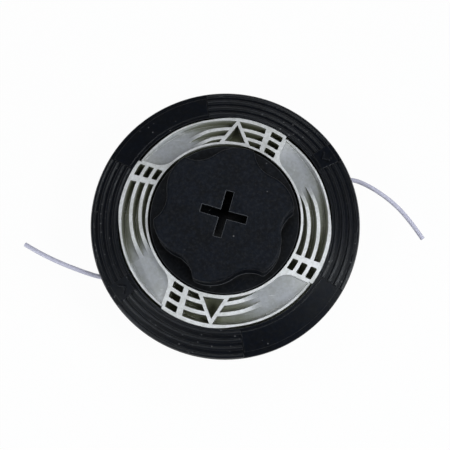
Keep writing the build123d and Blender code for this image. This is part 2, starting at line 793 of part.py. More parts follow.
# Free ends of the cutting line: straight runs joined by the widest tangent arcs they allow
tail_routes = {
    "right": (
        (52.07, 23.18, line_z), (59.84, 26.64, line_z), (68.9, 27.3, line_z - 0.2),
        (77.0, 23.9, line_z - 0.6), (85.3, 18.6, line_z - 1.1), (92.6, 12.5, line_z - 1.8),
        (98.0, 6.4, line_z - 2.5), (102.4, 0.6, line_z - 3.3), (106.2, -4.8, line_z - 4.2),
    ),
    "left": (
        (-52.07, -23.18, line_z), (-59.84, -26.64, line_z), (-68.3, -25.3, line_z - 0.2),
        (-76.4, -22.6, line_z - 0.6), (-84.3, -19.6, line_z - 1.1), (-91.6, -16.5, line_z - 1.8),
        (-98.3, -13.2, line_z - 2.5), (-104.0, -10.1, line_z - 3.3), (-108.8, -7.2, line_z - 4.2),
    ),
}
tails = {}
for side, route in tail_routes.items():
    points = [Vector(*point) for point in route]
    radii = []
    for before, here, after in zip(points, points[1:], points[2:]):
        shorter_run = min((here - before).length, (after - here).length)
        half_turn = radians((here - before).get_angle(after - here) / 2)
        radii.append(0.45 * shorter_run / tan(half_turn))
    with BuildPart() as tail:
        with BuildLine():
            path = FilletPolyline(*points, radius=radii)
        with BuildSketch(Plane(origin=path @ 0, z_dir=path % 0)):
            Circle(line_diameter / 2)
        sweep(path=path)
    tails[side] = tail.part
    section = Face(Wire(Edge.make_circle(line_diameter / 2))).area
    print("line tail", side, "length", round(path.length, 2), "radii", [round(radius, 1) for radius in radii])
    print("volume against section times length", round(tail.part.volume / (section * path.length), 4))

pieces = {
    "upper_housing": upper_housing.part,
    "threaded_insert": threaded_insert.part,
    "line_eyelet_right": eyelets["right"],
    "line_eyelet_left": eyelets["left"],
    "line_spool": line_spool.part,
    "winding_lower": windings["lower"],
    "winding_upper": windings["upper"],
    "thrust_washer": thrust_washer.part,
    "feed_spring": feed_spring.part,
    "lower_cover": lower_cover.part,
    "wind_ring": wind_ring.part,
    "bump_knob": bump_knob.part,
    "line_tail_right": tails["right"],
    "line_tail_left": tails["left"],
}
for name, piece in pieces.items():
    piece.label = name
    export_step(piece, f"parts/{name}.step")
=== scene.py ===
"""Looks of a bump-feed trimmer head: finishes, cutting line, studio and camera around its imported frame."""

import logging
import math
from collections.abc import Sequence
from dataclasses import dataclass, field, replace
from enum import Enum

import bmesh
import bpy
import numpy as np
from mathutils import Matrix, Vector


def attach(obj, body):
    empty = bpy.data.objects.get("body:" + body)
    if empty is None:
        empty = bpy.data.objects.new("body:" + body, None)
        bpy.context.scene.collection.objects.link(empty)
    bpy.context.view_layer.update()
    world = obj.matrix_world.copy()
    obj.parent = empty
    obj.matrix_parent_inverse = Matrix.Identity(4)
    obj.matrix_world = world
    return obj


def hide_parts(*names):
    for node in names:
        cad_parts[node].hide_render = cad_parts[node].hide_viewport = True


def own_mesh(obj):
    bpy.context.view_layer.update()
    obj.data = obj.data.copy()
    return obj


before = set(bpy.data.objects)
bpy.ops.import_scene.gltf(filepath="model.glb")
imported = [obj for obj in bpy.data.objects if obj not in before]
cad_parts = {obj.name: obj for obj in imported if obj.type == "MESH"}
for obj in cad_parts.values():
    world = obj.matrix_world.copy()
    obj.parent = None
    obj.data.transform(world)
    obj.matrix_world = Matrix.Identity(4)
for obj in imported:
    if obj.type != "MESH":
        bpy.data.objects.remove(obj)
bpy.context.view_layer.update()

MM = 0.001
PHOTO_SIDE_PX = 450.0
UP = np.array([0.0, 0.0, 1.0])
LOG = logging.getLogger("trimmer_head")

Band = tuple[float, float]
Colour = tuple[float, float, float]
Point = tuple[float, float, float]
Feed = bpy.types.NodeSocket | float | Colour

WHITE: Colour = (1.0, 1.0, 1.0)


class Body(Enum):
    """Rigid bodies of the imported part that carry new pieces."""

    HOUSING = "housing"


class Slot(Enum):
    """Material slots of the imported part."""

    BLACK_NYLON = "black_nylon"
    SPRING_STEEL = "spring_steel"
    CUTTING_LINE = "cutting_line"


class Socket(Enum):
    """Kinds of outputs of a shader node group."""

    VALUE = "NodeSocketFloat"
    NORMAL = "NodeSocketVector"


@dataclass(frozen=True)
class Noise:
    """One noise: its cells per metre, its layers of detail and how much each finer layer weighs."""

    cells: bpy.types.NodeSocket | float
    detail: float = 2.0
    roughness: float = 0.5


class Recipe:
    """Short way to place and join shader nodes in one node tree."""

    # A Mix node lists sockets for every type of data. These are the ones that mix colours.
    MIX_SHARE, MIX_FIRST, MIX_SECOND, MIX_RESULT = 0, 6, 7, 2

    def __init__(self, tree: bpy.types.NodeTree) -> None:
        """Start on the node tree of a material, a world or a group, and empty it."""
        self.tree = tree
        tree.nodes.clear()

    def node(self, kind: str, inputs: dict[str | int, Feed] | None = None,
             **settings: object) -> bpy.types.Node:
        """Add a node, set its properties and fill or join its inputs.

        Args:
            kind: Blender's name of the node type.
            inputs: socket name or number to a value, or to an output socket that is joined to it.
            settings: properties of the node itself.

        Returns:
            The new node.
        """
        made = self.tree.nodes.new(kind)
        for name, value in settings.items():
            setattr(made, name, value)
        for key, value in (inputs or {}).items():
            socket = made.inputs[key]
            if isinstance(value, bpy.types.NodeSocket):
                self.tree.links.new(value, socket)
            else:
                socket.default_value = (*value, 1.0) if socket.type == "RGBA" else value
        return made

    def math(self, operation: str, first: Feed, second: Feed = 0.0) -> bpy.types.NodeSocket:
        """Return the output of a Math node for two values or sockets."""
        return self.node("ShaderNodeMath", {0: first, 1: second}, operation=operation).outputs[0]

    def band(self, value: Feed, low: float, high: float) -> bpy.types.NodeSocket:
        """Return a smooth step that rises from 0 at low to 1 at high."""
        return self.node("ShaderNodeMapRange", {"Value": value, "From Min": low, "From Max": high},
                         interpolation_type="SMOOTHSTEP").outputs[0]

    def blend(self, share: Feed, first: Feed, second: Feed) -> bpy.types.NodeSocket:
        """Return two colours mixed by a share of the second."""
        inputs = {self.MIX_SHARE: share, self.MIX_FIRST: first, self.MIX_SECOND: second}
        return self.node("ShaderNodeMix", inputs, data_type="RGBA").outputs[self.MIX_RESULT]

    def noise(self, place: bpy.types.NodeSocket, noise: Noise) -> bpy.types.NodeSocket:
        """Return the value of a noise over a place."""
        return self.node("ShaderNodeTexNoise", {"Vector": place, "Scale": noise.cells, "Detail": noise.detail,
                                                "Roughness": noise.roughness}).outputs["Fac"]


def new_group(name: str, inputs: dict[str, float], outputs: dict[str, Socket]) -> bpy.types.ShaderNodeTree:
    """Make an empty shader node group with named sockets.

    Args:
        name: name of the group.
        inputs: names of its value inputs, with their defaults.
        outputs: names of its outputs, with their kinds.

    Returns:
        The group's node tree.
    """
    tree = bpy.data.node_groups.new(name, "ShaderNodeTree")
    for label, default in inputs.items():
        socket = tree.interface.new_socket(label, in_out="INPUT", socket_type=Socket.VALUE.value)
        socket.default_value = default
    for label, kind in outputs.items():
        tree.interface.new_socket(label, in_out="OUTPUT", socket_type=kind.value)
    return tree


def new_material(name: str) -> tuple[bpy.types.Material, Recipe]:
    """Make a material with an empty node tree.

    Args:
        name: name of the material.

    Returns:
        The material, and the recipe that fills its node tree.
    """
    material = bpy.data.materials.new(name)
    material.use_nodes = True
    return material, Recipe(material.node_tree)


@dataclass
class SurfaceEffects:
    """Shader node groups that several finishes share, with the measures of their patterns."""

    fine_grain: Noise = Noise(1800.0, detail=3.0, roughness=0.6)
    broad_grain: Noise = Noise(260.0, detail=3.0)
    broad_share: float = 0.5
    slow_mottle: Noise = Noise(110.0, detail=4.0, roughness=0.65)
    quick_mottle: Noise = Noise(620.0, detail=3.0, roughness=0.6)
    quick_share: float = 0.5
    mottle_band: Band = (0.36, 0.64)
    speck_cells: float = 420.0
    speck_band: Band = (0.22, 0.08)
    speck_patch: Noise = Noise(28.0)
    speck_patch_band: Band = (0.42, 0.62)
    scuff_turn_rad: float = 0.7
    scuff_cells: Point = (90.0, 1400.0, 400.0)
    scuff_streak: Noise = Noise(1.0)
    scuff_field: Noise = Noise(60.0)
    scuff_field_band: Band = (0.5, 0.66)
    scuff_limit: float = 0.82
    scuff_gain: float = 0.25
    veil_facing_band: Band = (0.2, 1.0)
    veil_cloud: Noise = Noise(520.0, detail=4.0, roughness=0.7)
    veil_cloud_band: Band = (0.42, 0.72)
    edge_samples: int = 6
    edge_band: Band = (0.995, 0.86)
    shallow_band: Band = (0.4 * MM, 4.2 * MM)
    deep_band: Band = (4.6 * MM, 10.4 * MM)
    grain: bpy.types.ShaderNodeTree = field(init=False)
    wear: bpy.types.ShaderNodeTree = field(init=False)
    edges: bpy.types.ShaderNodeTree = field(init=False)
    recess: bpy.types.ShaderNodeTree = field(init=False)

    def __post_init__(self) -> None:
        """Build every group once."""
        self.grain = self._moulded_grain()
        self.wear = self._dust_and_scuffs()
        self.edges = self._rounded_edges()
        self.recess = self._recess_depth()

    def _moulded_grain(self) -> bpy.types.ShaderNodeTree:
        """Make a fine spark-eroded grain and a mottling, each the sum of two noises.

        Returns:
            The group that puts out the grain's height and the mottling.
        """
        tree = new_group("Moulded Grain", {"Cells per Metre": self.fine_grain.cells},
                         {"Height": Socket.VALUE, "Mottle": Socket.VALUE})
        make = Recipe(tree)
        entry = make.node("NodeGroupInput").outputs
        place = make.node("ShaderNodeTexCoord").outputs["Object"]
        fine = make.noise(place, replace(self.fine_grain, cells=entry["Cells per Metre"]))
        broad = make.math("MULTIPLY", make.noise(place, self.broad_grain), self.broad_share)
        slow = make.math("MULTIPLY", make.noise(place, self.slow_mottle), 1.0 - self.quick_share)
        quick = make.math("MULTIPLY", make.noise(place, self.quick_mottle), self.quick_share)
        mottle = make.band(make.math("ADD", slow, quick), *self.mottle_band)
        make.node("NodeGroupOutput", {"Height": make.math("ADD", fine, broad), "Mottle": mottle})
        return tree

    def _dust_and_scuffs(self) -> bpy.types.ShaderNodeTree:
        """Make dust specks, short scuffs and a thin veil of dust on faces that look up.

        A share of the cells of a pattern holds a speck each, in patches. A scuff is where a stretched noise
        rises over a limit.

        Returns:
            The group that puts out a mask for each of the three.
        """
        tree = new_group("Dust And Scuffs", {"Speck Share": 0.1, "Scuff Share": 0.2},
                         {"Specks": Socket.VALUE, "Scuffs": Socket.VALUE, "Veil": Socket.VALUE})
        make = Recipe(tree)
        entry = make.node("NodeGroupInput").outputs
        place = make.node("ShaderNodeTexCoord").outputs["Object"]
        cells = make.node("ShaderNodeTexVoronoi", {"Vector": place, "Scale": self.speck_cells}, feature="F1")
        dot = make.band(cells.outputs["Distance"], *self.speck_band)
        draw = make.node("ShaderNodeSeparateColor", {"Color": cells.outputs["Color"]}).outputs[0]
        chosen = make.math("LESS_THAN", draw, entry["Speck Share"])
        patch = make.band(make.noise(place, self.speck_patch), *self.speck_patch_band)
        specks = make.math("MULTIPLY", make.math("MULTIPLY", dot, chosen), patch)
        stretched = make.node("ShaderNodeMapping", {"Vector": place, "Scale": self.scuff_cells,
                                                    "Rotation": (0.0, 0.0, self.scuff_turn_rad)})
        streak = make.noise(stretched.outputs[0], self.scuff_streak)
        scuffed = make.band(make.noise(place, self.scuff_field), *self.scuff_field_band)
        limit = make.math("SUBTRACT", self.scuff_limit,
                          make.math("MULTIPLY", entry["Scuff Share"], self.scuff_gain))
        scuffs = make.math("MULTIPLY", make.math("GREATER_THAN", streak, limit), scuffed)
        normal = make.node("ShaderNodeNewGeometry").outputs["Normal"]
        facing = make.node("ShaderNodeSeparateXYZ", {"Vector": normal}).outputs["Z"]
        veil = make.math("MULTIPLY", make.band(facing, *self.veil_facing_band),
                         make.band(make.noise(place, self.veil_cloud), *self.veil_cloud_band))
        make.node("NodeGroupOutput", {"Specks": specks, "Scuffs": scuffs, "Veil": veil})
        return tree

    def _rounded_edges(self) -> bpy.types.ShaderNodeTree:
        """Make a rounded normal at sharp edges, and a mask of them, which places painted highlights, from how
        far it leans off the face.

        Returns:
            The group that puts out the normal and the mask.
        """
        tree = new_group("Rounded Edges", {"Radius": 0.4 * MM},
                         {"Normal": Socket.NORMAL, "Edge": Socket.VALUE})
        make = Recipe(tree)
        entry = make.node("NodeGroupInput").outputs
        bevel = make.node("ShaderNodeBevel", {"Radius": entry["Radius"]}, samples=self.edge_samples)
        face = make.node("ShaderNodeNewGeometry").outputs["Normal"]
        lean = make.node("ShaderNodeVectorMath", {0: bevel.outputs[0], 1: face}, operation="DOT_PRODUCT")
        edge_highlight = make.band(lean.outputs["Value"], *self.edge_band)
        make.node("NodeGroupOutput", {"Normal": bevel.outputs[0], "Edge": edge_highlight})
        return tree

    def _recess_depth(self) -> bpy.types.ShaderNodeTree:
        """Make masks of shallow and deep recesses, from how far a place lies under a cone about the axis.

        Returns:
            The group that puts out both masks.
        """
        tree = new_group("Recess Depth", {"Apex Height": 0.1, "Fall": 0.5},
                         {"Shallow": Socket.VALUE, "Deep": Socket.VALUE})
        make = Recipe(tree)
        entry = make.node("NodeGroupInput").outputs
        place = make.node("ShaderNodeTexCoord").outputs["Object"]
        east, north, height = make.node("ShaderNodeSeparateXYZ", {"Vector": place}).outputs
        radius = make.math("SQRT", make.math("ADD", make.math("MULTIPLY", east, east),
                                             make.math("MULTIPLY", north, north)))
        cone = make.math("SUBTRACT", entry["Apex Height"], make.math("MULTIPLY", entry["Fall"], radius))
        depth = make.math("SUBTRACT", cone, height)
        make.node("NodeGroupOutput", {"Shallow": make.band(depth, *self.shallow_band),
                                      "Deep": make.band(depth, *self.deep_band)})
        return tree


@dataclass(frozen=True)
class PaintedRecessShade:
    """Painted shade in a conical piece's recesses: a shallow and a deep shade colour, with the cone their
    depth is measured from.
    """

    apex_height: float
    fall: float
    shallow: Colour
    deep: Colour


@dataclass(frozen=True)
class MouldedNylon:
    """Injection-moulded nylon with grain, dust, scuffs and rounded edges, with painted shade in crevices and
    recesses and painted highlights along sharp edges.
    """

    name: str
    colour: Colour
    # Colour of the painted shade in crevices, and the dark end of the random mottling.
    painted_shade_and_mottle: Colour
    # Colour of the painted highlight along sharp edges.
    edge_highlight: Colour
    dust: Colour
    roughness: float
    specular: float
    grain_bump: float
    edge_radius: float
    painted_shade_reach: float
    painted_shade_band: Band
    mottle_share: float
    speck_share: float
    scuff_share: float
    edge_highlight_share: float
    veil_share: float
    # Painted shade in the piece's recesses, if it has any.
    recess: PaintedRecessShade | None = None
    gloss_swing: Band = (-0.02, 0.05)
    grain_depth: float = 0.2 * MM
    painted_shade_samples: int = 8

    def build(self, effects: SurfaceEffects) -> bpy.types.Material:
        """Make the material.

        Args:
            effects: the shared node groups.

        Returns:
            The finished material.
        """
        material, make = new_material(self.name)
        grain = make.node("ShaderNodeGroup", node_tree=effects.grain).outputs
        shares = {"Speck Share": self.speck_share, "Scuff Share": self.scuff_share}
        wear = make.node("ShaderNodeGroup", shares, node_tree=effects.wear).outputs
        edges = make.node("ShaderNodeGroup", {"Radius": self.edge_radius}, node_tree=effects.edges).outputs
        # Painted shade: where ambient occlusion finds little open sky, in grooves, slots and corners, the
        # colour darkens towards the shade colour.
        open_sky = make.node("ShaderNodeAmbientOcclusion", {"Distance": self.painted_shade_reach},
                             samples=self.painted_shade_samples).outputs["AO"]
        base = self._painted_recess_shade(make, effects) if self.recess else self.colour
        shade = make.blend(make.band(open_sky, *self.painted_shade_band), self.painted_shade_and_mottle, base)
        mottled = make.blend(make.math("MULTIPLY", grain["Mottle"], self.mottle_share), shade, self.painted_shade_and_mottle)
        # Painted highlight: the colour turns lighter along sharp edges.
        edge_highlighted = make.blend(make.math("MULTIPLY", edges["Edge"], self.edge_highlight_share), mottled, self.edge_highlight)
        veiled = make.blend(make.math("MULTIPLY", wear["Veil"], self.veil_share), edge_highlighted, self.dust)
        marks = make.math("MAXIMUM", wear["Specks"], make.math("MULTIPLY", wear["Scuffs"], self.scuff_share))
        coloured = make.blend(marks, veiled, self.dust)
        smoothest, roughest = (self.roughness + swing for swing in self.gloss_swing)
        gloss = make.node("ShaderNodeMapRange", {"Value": grain["Mottle"], "To Min": smoothest,
                                                 "To Max": roughest}).outputs[0]
        bump = make.node("ShaderNodeBump", {"Strength": self.grain_bump, "Distance": self.grain_depth,
                                            "Height": grain["Height"], "Normal": edges["Normal"]})
        shader = make.node("ShaderNodeBsdfPrincipled", {"Base Color": coloured, "Roughness": gloss,
                                                        "Specular IOR Level": self.specular,
                                                        "Normal": bump.outputs[0]})
        make.node("ShaderNodeOutputMaterial", {"Surface": shader.outputs[0]})
        return material

    def _painted_recess_shade(self, make: Recipe, effects: SurfaceEffects) -> bpy.types.NodeSocket:
        """Paint shade onto the colour, darker the lower a place lies in a recess.

        Args:
            make: the recipe of the material.
            effects: the shared node groups.

        Returns:
            The output socket of the colour with painted shade.
        """
        cone = {"Apex Height": self.recess.apex_height, "Fall": self.recess.fall}
        depth = make.node("ShaderNodeGroup", cone, node_tree=effects.recess).outputs
        # Painted shade: the colour turns to the shallow, then the deep shade colour, the lower a place lies
        # under the cone.
        shallow = make.blend(depth["Shallow"], self.colour, self.recess.shallow)
        return make.blend(depth["Deep"], shallow, self.recess.deep)


@dataclass(frozen=True)
class TurnedMetal:
    """Plated or turned metal with a fine grain, soft edges and a little tarnish."""

    name: str
    colour: Colour
    tarnish: Colour
    roughness: float
    gloss_swing: float = 0.2
    grain_cells: float = 5200.0
    grain_bump: float = 0.15
    grain_depth: float = 0.1 * MM
    edge_radius: float = 0.2 * MM

    def build(self, effects: SurfaceEffects) -> bpy.types.Material:
        """Make the material.

        Args:
            effects: the shared node groups.

        Returns:
            The finished material.
        """
        material, make = new_material(self.name)
        grain = make.node("ShaderNodeGroup", {"Cells per Metre": self.grain_cells},
                          node_tree=effects.grain).outputs
        edges = make.node("ShaderNodeGroup", {"Radius": self.edge_radius}, node_tree=effects.edges).outputs
        tone = make.blend(grain["Mottle"], self.colour, self.tarnish)
        gloss = make.math("ADD", make.math("MULTIPLY", grain["Mottle"], self.gloss_swing),
                          self.roughness - self.gloss_swing / 2)
        bump = make.node("ShaderNodeBump", {"Strength": self.grain_bump, "Distance": self.grain_depth,
                                            "Height": grain["Height"], "Normal": edges["Normal"]})
        shader = make.node("ShaderNodeBsdfPrincipled", {"Base Color": tone, "Roughness": gloss,
                                                        "Metallic": 1.0, "Normal": bump.outputs[0]})
        make.node("ShaderNodeOutputMaterial", {"Surface": shader.outputs[0]})
        return material


@dataclass(frozen=True)
class LineNylon:
    """Drawn monofilament: cloudy, opaque nylon with a faint grain."""

    name: str
    colour: Colour
    cloud: Colour
    roughness: float
    gloss_swing: float = 0.15
    refraction: float = 1.53
    grain_cells: float = 2600.0
    grain_bump: float = 0.1
    grain_depth: float = 0.1 * MM

    def build(self, effects: SurfaceEffects) -> bpy.types.Material:
        """Make the material.

        Args:
            effects: the shared node groups.

        Returns:
            The finished material.
        """
        material, make = new_material(self.name)
        grain = make.node("ShaderNodeGroup", {"Cells per Metre": self.grain_cells},
                          node_tree=effects.grain).outputs
        tone = make.blend(grain["Mottle"], self.colour, self.cloud)
        gloss = make.math("ADD", make.math("MULTIPLY", grain["Mottle"], self.gloss_swing), self.roughness)
        bump = make.node("ShaderNodeBump", {"Strength": self.grain_bump, "Distance": self.grain_depth,
                                            "Height": grain["Height"]})
        shader = make.node("ShaderNodeBsdfPrincipled", {"Base Color": tone, "Roughness": gloss,
                                                        "IOR": self.refraction, "Normal": bump.outputs[0]})
        make.node("ShaderNodeOutputMaterial", {"Surface": shader.outputs[0]})
        return material


BLACK_NYLON = MouldedNylon(
    name="Black Nylon", colour=(0.002, 0.0036, 0.0076), painted_shade_and_mottle=(0.0004, 0.0006, 0.001),
    edge_highlight=(0.034, 0.037, 0.044), dust=(0.13, 0.13, 0.135), roughness=0.3, specular=0.22, grain_bump=0.14,
    edge_radius=0.5 * MM, painted_shade_reach=6.0 * MM, painted_shade_band=(0.5, 1.0), mottle_share=0.7,
    speck_share=0.32, scuff_share=0.25, edge_highlight_share=0.6, veil_share=0.03)
KNOB_NYLON = replace(
    BLACK_NYLON, name="Knob Nylon", colour=(0.0024, 0.0044, 0.0092), edge_highlight=(0.16, 0.165, 0.18),
    roughness=0.42, specular=0.1, grain_bump=0.5, edge_radius=0.7 * MM, speck_share=0.05,
    scuff_share=0.2, edge_highlight_share=0.8, veil_share=0.06)
WHITE_NYLON = MouldedNylon(
    name="White Nylon", colour=(0.79, 0.79, 0.8), painted_shade_and_mottle=(0.17, 0.175, 0.11), edge_highlight=(0.8, 0.8, 0.82),
    dust=(0.6, 0.6, 0.6), roughness=0.42, specular=0.4, grain_bump=0.12, edge_radius=0.4 * MM,
    painted_shade_reach=9.0 * MM, painted_shade_band=(0.05, 0.7), mottle_share=0.34, speck_share=0.06,
    scuff_share=0.7, edge_highlight_share=0.6, veil_share=0.12,
    recess=PaintedRecessShade(apex_height=92.98 * MM, fall=0.537, shallow=(0.36, 0.368, 0.395),
                      deep=(0.17, 0.177, 0.11)))
BRIGHT_EYELET = TurnedMetal(name="Turned Eyelet", colour=(0.78, 0.78, 0.77), tarnish=(0.55, 0.54, 0.52),
                            roughness=0.28)
PLATED_STEEL = TurnedMetal(name="Zinc Plated Steel", colour=(0.62, 0.62, 0.6), tarnish=(0.45, 0.44, 0.4),
                           roughness=0.38)
SPRING_WIRE = TurnedMetal(name="Oiled Spring Wire", colour=(0.3, 0.3, 0.31), tarnish=(0.18, 0.17, 0.16),
                          roughness=0.34)
CUTTING_LINE = LineNylon(name="Cutting Line", colour=(0.64, 0.625, 0.75), cloud=(0.56, 0.545, 0.67),
                         roughness=0.32)


def dress(node: str, material: bpy.types.Material) -> None:
    """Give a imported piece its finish.

    Args:
        node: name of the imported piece.
        material: the finish.
    """
    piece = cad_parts[node]
    piece.data.materials.clear()
    piece.data.materials.append(material)
    LOG.info("%s dressed in %s", node, material.name)


def swept_faces(rows: int, spots: int) -> list[list[int]]:
    """List the faces of a section that is carried along a path and capped at both ends.

    Args:
        rows: number of places along the path.
        spots: number of points around the section.

    Returns:
        Point numbers of each face, for points counted row by row.
    """
    grid = np.arange(rows * spots).reshape(rows, spots)
    beside = np.roll(grid, -1, axis=1)
    quads = np.stack([grid[:-1], beside[:-1], beside[1:], grid[1:]], axis=2).reshape(-1, 4)
    return [*quads.tolist(), grid[0].tolist(), grid[-1].tolist()]


def mesh_piece(name: str, points: np.ndarray, faces: Sequence[Sequence[int]], material: bpy.types.Material,
               body: Body) -> bpy.types.Object:
    """Make a closed piece from computed points and let it ride.

    Args:
        name: name of the piece.
        points: its points in metres, in the part's frame.
        faces: point numbers of each face.
        material: its finish.
        body: the body that carries it.

    Returns:
        The new object, with its faces turned outwards.
    """
    mesh = bpy.data.meshes.new(name)
    mesh.from_pydata(points.tolist(), [], faces)
    form = bmesh.new()
    form.from_mesh(mesh)
    bmesh.ops.recalc_face_normals(form, faces=form.faces)
    form.to_mesh(mesh)
    form.free()
    mesh.materials.append(material)
    piece = bpy.data.objects.new(name, mesh)
    bpy.context.collection.objects.link(piece)
    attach(piece, body.value)
    LOG.info("%s: %d points", piece.name, len(points))
    return piece


@dataclass
class Chevron:
    """Raised V on one boss of the cover: a tapered section carried along a bent path."""

    side: str
    bearing_deg: float
    radius: float = 62.0 * MM
    height: float = 60.78 * MM
    slope_deg: float = 25.31
    half_width: float = 2.6 * MM
    half_rise: float = 1.5 * MM
    bar: float = 1.1 * MM
    crest: float = 0.77 * MM
    relief: float = 0.5 * MM
    sink: float = 0.15 * MM

    def surface(self) -> tuple[np.ndarray, list[list[int]]]:
        """Carry the bar's section along the V in the sloping face of the boss.

        The section has four points: the bar's width apart where it is sunk into the face, and the crest's
        width apart where it stands in relief. It lies square to both ends of the V. At the bend it lies along
        the mitre, drawn out so that both legs keep their width.

        Returns:
            The points in metres, one row of section points for each point of the V, and the faces.
        """
        path = np.array([(-self.half_width, self.half_rise), (0.0, -self.half_rise),
                         (self.half_width, self.half_rise)])
        runs = np.diff(path, axis=0)
        runs /= np.linalg.norm(runs, axis=1)[:, None]
        sides = np.stack([-runs[:, 1], runs[:, 0]], axis=1)
        mitre = sides.sum(axis=0)
        across = np.array([sides[0], mitre / (mitre @ sides[0]), sides[1]])
        reach = np.array([-self.bar, -self.crest, self.crest, self.bar]) / 2
        lift = np.array([-self.sink, self.relief, self.relief, -self.sink])
        flat = path[:, None, :] + across[:, None, :] * reach[None, :, None]
        bearing, slope = math.radians(self.bearing_deg), math.radians(self.slope_deg)
        outward = np.array([math.cos(bearing), math.sin(bearing), 0.0])
        along = np.array([-math.sin(bearing), math.cos(bearing), 0.0])
        downhill = outward * math.cos(slope) - UP * math.sin(slope)
        normal = outward * math.sin(slope) + UP * math.cos(slope)
        points = (outward * self.radius + UP * self.height + flat[..., :1] * along
                  + flat[..., 1:] * downhill + lift[None, :, None] * normal)
        return points.reshape(-1, 3), swept_faces(len(path), len(reach))

    def build(self, material: bpy.types.Material) -> None:
        """Make the chevron and let it ride on the housing.

        Args:
            material: the black nylon.
        """
        points, faces = self.surface()
        mesh_piece(f"chevron_{self.side}", points, faces, material, Body.HOUSING)


@dataclass
class Casing:
    """Housing, cover and metal fittings that stay still."""

    moulded: tuple[str, ...] = ("upper_housing", "lower_cover")
    eyelets: tuple[str, ...] = ("line_eyelet_right", "line_eyelet_left")
    plated: tuple[str, ...] = ("threaded_insert",)
    chevrons: tuple[Chevron, ...] = (Chevron("right", 33.1), Chevron("left", 213.1))

    def build(self, effects: SurfaceEffects, black: bpy.types.Material, plated: bpy.types.Material) -> None:
        """Dress the casing.

        Args:
            effects: the shared node groups.
            black: the black nylon.
            plated: the plated steel.
        """
        bright = BRIGHT_EYELET.build(effects)
        for names, material in ((self.moulded, black), (self.eyelets, bright), (self.plated, plated)):
            for name in names:
                dress(name, material)
        for chevron in self.chevrons:
            chevron.build(black)


@dataclass
class FeedSpring:
    """Round wire coiled around the spigot, which shortens towards its foot as the knob is pressed in."""

    mean_radius: float = 14.5 * MM
    wire_radius: float = 1.0 * MM
    foot: float = 8.4 * MM
    head: float = 46.5 * MM
    stroke: float = 8.0 * MM
    turns: int = 6
    steps_per_turn: int = 48
    wire_sides: int = 12

    def surface(self) -> tuple[np.ndarray, list[list[int]]]:
        """Carry the wire's circle along the helix.

        The path climbs evenly from one wire radius over the foot to one under the head. Each circle lies
        across it, between the direction away from the axis and the one square to that and to the path.

        Returns:
            The points in metres, one row of circle points for each step, and the faces.
        """
        rows = self.turns * self.steps_per_turn + 1
        angle = np.linspace(0.0, 2 * np.pi * self.turns, rows)
        height = np.linspace(self.foot + self.wire_radius, self.head - self.wire_radius, rows)
        outward = np.stack([np.cos(angle), np.sin(angle), np.zeros(rows)], axis=1)
        middle = self.mean_radius * outward + height[:, None] * UP
        climb = (height[-1] - height[0]) / angle[-1]
        run = np.stack([-self.mean_radius * np.sin(angle), self.mean_radius * np.cos(angle),
                        np.full(rows, climb)], axis=1)
        upward = np.cross(outward, run / np.linalg.norm(run, axis=1)[:, None])
        around = np.arange(self.wire_sides) * 2 * np.pi / self.wire_sides
        circle = (np.cos(around)[None, :, None] * outward[:, None, :]
                  + np.sin(around)[None, :, None] * upward[:, None, :])
        points = (middle[:, None, :] + self.wire_radius * circle).reshape(-1, 3)
        return points, swept_faces(rows, self.wire_sides)

    def build(self, material: bpy.types.Material) -> None:
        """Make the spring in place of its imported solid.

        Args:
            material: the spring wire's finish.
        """
        points, faces = self.surface()
        spring = mesh_piece("coil_spring", points, faces, material, Body.HOUSING)
        spring.data.shade_smooth()
        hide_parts("feed_spring")
        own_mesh(spring)


@dataclass
class FeedSet:
    """Knob, wind ring, spool and windings that press in and turn, with their washer and spring."""

    knob: str = "bump_knob"
    spool: str = "line_spool"
    ring: str = "wind_ring"
    washer: str = "thrust_washer"
    spring: FeedSpring = field(default_factory=FeedSpring)
    windings: tuple[str, ...] = ("winding_lower", "winding_upper")

    def build(self, effects: SurfaceEffects, black: bpy.types.Material, plated: bpy.types.Material,
              line: bpy.types.Material) -> None:
        """Dress the feed set.

        Args:
            effects: the shared node groups.
            black: the black nylon.
            plated: the plated steel.
            line: the cutting line's nylon.
        """
        dress(self.spool, black)
        dress(self.knob, KNOB_NYLON.build(effects))
        dress(self.ring, WHITE_NYLON.build(effects))
        dress(self.washer, plated)
        self.spring.build(SPRING_WIRE.build(effects))
        for name in self.windings:
            dress(name, line)


